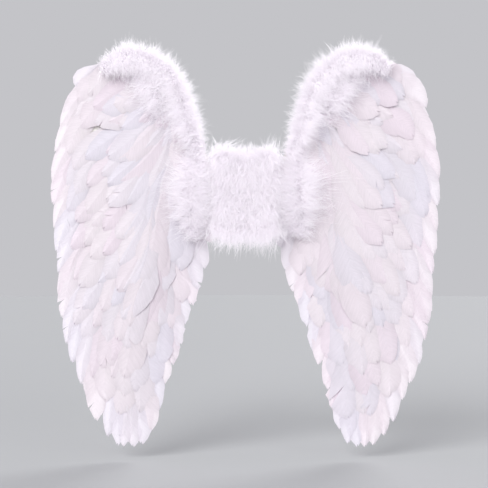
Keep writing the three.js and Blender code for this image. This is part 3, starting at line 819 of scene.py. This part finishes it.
for side, word in ((1, "right"), (-1, "left")):
    for row in range(ROWS):
        seed = 100 * row + (7 if side > 0 else 11)
        random = np.random.default_rng(seed)
        edge = stepped_in(tip_line, row * ROW_SHARE)
        along = np.gradient(edge, axis=0)
        along /= np.linalg.norm(along, axis=1)[:, None]
        outward = np.stack([along[:, 1], -along[:, 0]], axis=1)
        ahead = heading(lie_at(edge))
        crossing = np.abs(along[:, 0] * ahead[:, 1] - along[:, 1] * ahead[:, 0])
        abreast = np.abs((along * ahead).sum(1))
        narrow = (23 if row == 0 else 33) - 5 * smoothstep(-edge[:, 1], 300, 370)
        density = np.sqrt((crossing / narrow) ** 2 + (abreast / (42 if row == 0 else 58)) ** 2)
        run = np.concatenate(
            [[0], np.cumsum(np.linalg.norm(np.diff(edge, axis=0), axis=1) * (density[1:] + density[:-1]) / 2)]
        )
        count = int(run[-1])
        spots = (np.arange(count) + 0.5 + random.uniform(-0.2, 0.2, count)) * run[-1] / count
        index = np.interp(spots, run, np.arange(len(edge)))
        pick = index.round().astype(int)
        tips = edge[pick]
        near_root = smoothstep(-tips[:, 1] + 0.3 * (tips[:, 0] - 60), 60, 190)
        on_inner_side = pick < 200
        strewn = random.uniform(-18, 4, count) * (row > 0)
        tips = tips + heading(lie_at(tips)) * strewn[:, None]
        short = 72 + 7 * row
        lengths = np.where(on_inner_side, short + (117 - short) * near_root, 122) * random.uniform(0.94, 1.06, count)
        widths = (
            np.where(on_inner_side, 28 + 6 * near_root, 34) * random.uniform(0.9, 1.1, count) * (1 if row == 0 else 1.3)
        )
        levels = FEATHER_LEVEL + ROW_STEP * row + random.uniform(0, 0.5, count)
        facing = (np.stack([-ahead[pick, 1], ahead[pick, 0]], axis=1) * outward[pick]).sum(1)
        tilts = -0.055 * facing + random.normal(0, 0.012, count)
        curls = random.uniform(1.2, 2.8, count) + (2.2 if row == 0 else 0.0)
        node_name = f"{word}_feather_row_{row + 1}" if row < ROWS - 1 else f"{word}_covert_feathers"
        if row == ROWS - 1:
            extra = np.array([(x, z) for z, first in ((112, 96), (78, 82), (44, 72), (10, 72), (-22, 74))
                              for x in range(first, 165, 17)], float)
            extra += random.uniform(-6, 6, extra.shape)
            more = len(extra)
            tips = np.concatenate([tips, extra])
            out_there = np.concatenate([outward[pick], np.tile((0.0, -1.0), (more, 1))])
            lengths = np.concatenate([lengths, random.uniform(66, 80, more)])
            widths = np.concatenate([widths, random.uniform(24, 30, more)])
            levels = np.concatenate(
                [levels - 1.5, FEATHER_LEVEL + 9.0 + 0.02 * extra[:, 1] + random.uniform(0, 0.5, more)]
            )
            tilts = np.concatenate([tilts, random.normal(0.02, 0.012, more)])
            curls = np.concatenate([curls, random.uniform(0.5, 2.0, more)])
        else:
            out_there = outward[pick]
        made = feathers(node_name.replace("feather_row", "goose_row").replace("covert_feathers", "goose_coverts"),
                        f"{word}_wing", side, tips, out_there, lengths, widths, levels, tilts, curls,
                        1.0 if row == 0 else 0.35, seed + 1)
        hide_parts(node_name)

# ---- Marabou boas ----------------------------------------------------------------------------------------------------
# Marabou boas, cords wound with soft white turkey down, are sewn over the panel, the hinges and the top of each wing.
# Its loose pointed tufts are about 10 mm long at the front to 45 mm at the sides, of very fine dull curved strands.
# A real strand is too fine to show, so each one is drawn as a wider blade.
STRAND = 0.62
BARBS = 7
FRONT_EASE = 27.0
FRONT_LIMIT = 47.5

marabou, tree, shader = finish_of("marabou down", 1.0)
tone = add(tree, "Attribute", attribute_name="tone").outputs["Fac"]
whites = add(tree, "ValToRGB", {"Fac": tone})
whites.color_ramp.elements[0].color = linear("fefbfe")
whites.color_ramp.elements[1].color = linear("fdfbfe")
tree.links.new(whites.outputs["Color"], shader.inputs["Base Color"])
shader.inputs["Specular IOR Level"].default_value = 0.1
through_light = add(tree, "BsdfTranslucent", {"Color": linear("fefbfe")})
down_mix = add(tree, "MixShader", {0: 0.45, 1: shader.outputs["BSDF"], 2: through_light.outputs["BSDF"]})
tree.links.new(down_mix.outputs["Shader"], tree.nodes["Material Output"].inputs["Surface"])


def unit(vectors):
    return vectors / np.maximum(np.linalg.norm(vectors, axis=-1, keepdims=True), 1e-9)


def packed_core(line, level, radius, seed):
    """The dense middle of a boa, a lumpy closed tube of down, as a bmesh in millimetres."""
    bm = bmesh.new()
    rings = len(line) - 1
    bmesh.ops.create_grid(bm, x_segments=14, y_segments=rings, size=1)
    bm.verts.ensure_lookup_table()
    out2 = aside(line, 1) - line
    for row in range(rings + 1):
        thin = math.sqrt(max(1 - abs(2 * row / rings - 1) ** 5, 0))
        for column in range(15):
            turn = column / 14 * 2 * math.pi
            around = Vector((math.cos(turn), math.sin(turn), row * 0.55)) * 0.9 + Vector((seed, 0, 0))
            swell = radius * thin * (1 + 0.3 * noise.noise(around) + 0.12 * noise.noise(around * 2.7))
            x, z = line[row] + out2[row] * math.cos(turn) * swell
            bm.verts[row * 15 + column].co = (x, -level - math.sin(turn) * swell, z)
    bmesh.ops.remove_doubles(bm, verts=bm.verts, dist=0.001)
    bmesh.ops.recalc_face_normals(bm, faces=bm.faces)
    return bm


def boa(name, side, line, level, thick, scatter, tapering, sprays, seed):
    """
    One boa along a line of points (x, z), its cord at `level` towards the viewer. Each spray of tufts is a tuple:
    tufts to a millimetre, turn from straight outwards towards the viewer, spread of that, length, spread of that, sag.
    """
    random = np.random.default_rng(seed)
    line = through(line, 200)
    run = np.concatenate([[0], np.cumsum(np.linalg.norm(np.diff(line, axis=0), axis=1))])
    ahead2 = unit(np.gradient(line, axis=0))
    out2 = np.stack([-ahead2[:, 1], ahead2[:, 0]], axis=1)
    starts = []
    firsts = []
    lasts = []
    reaches = []
    clumps = []
    for per_mm, turn, turn_spread, length, length_spread, sag in sprays:
        tufts = int(per_mm * run[-1])
        spots = random.uniform(0, run[-1], tufts)
        at = np.stack([np.interp(spots, run, line[:, i]) for i in (0, 1)], axis=1)
        ahead = np.stack([np.interp(spots, run, ahead2[:, i]) for i in (0, 1)], axis=1)
        out = np.stack([np.interp(spots, run, out2[:, i]) for i in (0, 1)], axis=1)
        turns = np.radians(random.normal(turn, turn_spread, tufts))
        sweep = random.normal(0, 0.5, tufts)
        last = np.stack([
            out[:, 0] * np.cos(turns) + ahead[:, 0] * sweep,
            -np.sin(turns),
            out[:, 1] * np.cos(turns) + ahead[:, 1] * sweep,
        ], axis=1)
        last[:, 1] += sag
        first = last + np.array([0, -0.8, 0]) + random.normal(0, 0.25, (tufts, 3))
        from_end = np.minimum(spots, run[-1] - spots)
        taper = 1 - tapering * (1 - smoothstep(from_end, 0, 50))
        beside = random.uniform(-0.6, 0.9, tufts) * np.cos(turns)
        at += out * (beside * thick * taper)[:, None]
        height = level - 8 * (1 - taper) + thick * taper * 0.9 * np.sqrt(1 - beside**2)
        start = (
            np.stack([at[:, 0], -height, at[:, 1]], axis=1) + random.normal(0, 1, (tufts, 3)) * (scatter, 2, scatter)
        )
        starts.append(start)
        firsts.append(unit(first))
        lasts.append(unit(last))
        clumps.append(random.uniform(0.3, 0.85, tufts) * (1.1 if turn < 20 else 0.35))
        reaches.append(np.clip(random.normal(length, length_spread, tufts), 6, None) * taper)
    start = np.concatenate(starts)
    first = np.concatenate(firsts)
    last = np.concatenate(lasts)
    reach = np.concatenate(reaches)
    tufts = len(start)
    count = tufts * BARBS

    bm = bmesh.new()
    bmesh.ops.create_grid(bm, x_segments=1, y_segments=4, size=1)
    mesh = copies(bm, count)
    local = points_of(mesh, count)
    v = (local[..., 1:2] + 1) / 2
    tuft = np.repeat(np.arange(tufts), BARBS)
    gather = np.concatenate(clumps)[tuft][:, None, None]
    own = random.normal(0, 1, (count, 3))
    root = (start[tuft] + own * np.array([2.6, 1.6, 2.6]))[:, None, :]
    spread_first = unit(first[tuft] + random.normal(0, 0.3, (count, 3)))[:, None, :]
    spread_last = unit(last[tuft] + random.normal(0, 0.34, (count, 3)))[:, None, :]
    length = (reach[tuft] * random.uniform(0.45, 1.05, count))[:, None, None]
    loose = root + length * (spread_first * (v - v * v / 2) + spread_last * v * v / 2)
    core = start[tuft][:, None, :] + length * (
        first[tuft][:, None, :] * (v - v * v / 2) + last[tuft][:, None, :] * v * v / 2
    )
    middle = loose + (core - loose) * gather * v**1.2
    way = unit(spread_first * (1 - v) + spread_last * v)
    broad = unit(np.cross(way, unit(random.normal(0, 0.45, (count, 3)) + np.array([0, 1.0, 0]))[:, None, :]))
    width = STRAND * (1 - 0.85 * v) * random.uniform(0.7, 1.4, count)[:, None, None]
    points = middle + broad * local[..., :1] * width / 2
    beyond = np.maximum(-points[..., 1] - FRONT_EASE, 0)
    room = FRONT_LIMIT - FRONT_EASE
    points[..., 1] += beyond - room * np.tanh(beyond / room)
    points[..., 0] *= side
    made = settle(mesh, points, name, marabou)
    shades = made.data.attributes.new("tone", "FLOAT", "POINT")
    shades.data.foreach_set("value", np.repeat(random.random(tufts)[tuft], local.shape[1]).astype(np.float32))

    bm = packed_core(line[::2], level, thick, seed)
    if side < 0:
        bmesh.ops.mirror(bm, geom=[*bm.verts, *bm.edges, *bm.faces], merge_dist=-1, axis="X")
        bmesh.ops.delete(bm, geom=[v for v in bm.verts if v.co.x > 0], context="VERTS")
    bmesh.ops.scale(bm, vec=(0.001, 0.001, 0.001), verts=bm.verts)
    for face in bm.faces:
        face.smooth = True
    bm.from_mesh(made.data)
    bm.to_mesh(made.data)
    bm.free()
    return made


PANEL_BOA_SPACING = 26.0
PANEL_BOA_REACH = 47

for i in range(5):
    height = (2 - i) * PANEL_BOA_SPACING
    droop = 9.0 - 2.0 * i
    ends = [(-PANEL_BOA_REACH, height + droop), (0, height - 0.4 * droop), (PANEL_BOA_REACH, height + droop)]
    falling = [(5.0, 155, 20, 34, 7, 0.15), (1.4, 100, 35, 16, 4, 0), (2.0, 30, 25, 24, 5, 0.1)]
    upward = [(4.2, 12, 20, 22, 5, 0.1), (1.5, 60, 30, 13, 4, 0)]
    sprays = falling + upward if i == 0 else falling
    made = boa(f"centre_marabou_{i + 1}", 1, ends, 19.0, 10.0, 6.0, 0.0, sprays, 900 + i)
    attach(made, "harness")
    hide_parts(f"centre_boa_{i + 1}")

edge_line = aside(card_edge[17:-1], 5)[::-1]
edge_line = np.concatenate([[(72, 66)], edge_line])
quills = aside(aside(card_edge[17:-1], 5), 14.7)
second_line = aside(stepped_in(quills[1:-1], 4 * ROW_SHARE), -11)[::-1]
for side, word in ((1, "right"), (-1, "left")):
    shift = 0 if side > 0 else 50
    made = boa(f"{word}_edge_marabou", side, edge_line, 20.0, 9.0, 2.4, 0.45,
               [(5.0, 12, 22, 24, 6, 0.1), (1.3, 75, 35, 14, 4, 0), (4.0, 155, 20, 38, 11, 0.3)], 910 + shift)
    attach(made, f"{word}_wing")
    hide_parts(f"{word}_edge_boa")
    made = boa(f"{word}_second_marabou", side, second_line, 19.5, 4.0, 6.0, 0.7,
               [(3.6, 25, 25, 28, 6, 0.2), (1.0, 85, 35, 10, 4, 0), (4.6, 160, 18, 38, 11, 0.35)], 920 + shift)
    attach(made, f"{word}_wing")
    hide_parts(f"{word}_second_boa")
    made = boa(f"{word}_root_marabou", side, [(86, -60), (85, 0), (84, 66)], 17.5, 5.0, 6.0, 0.5,
               [(7.4, 20, 22, 42, 9, 0.15), (1.0, 80, 35, 13, 4, 0), (4.4, 164, 18, 46, 16, 0.5)], 930 + shift)
    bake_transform(made)
    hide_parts(f"{word}_root_boa")
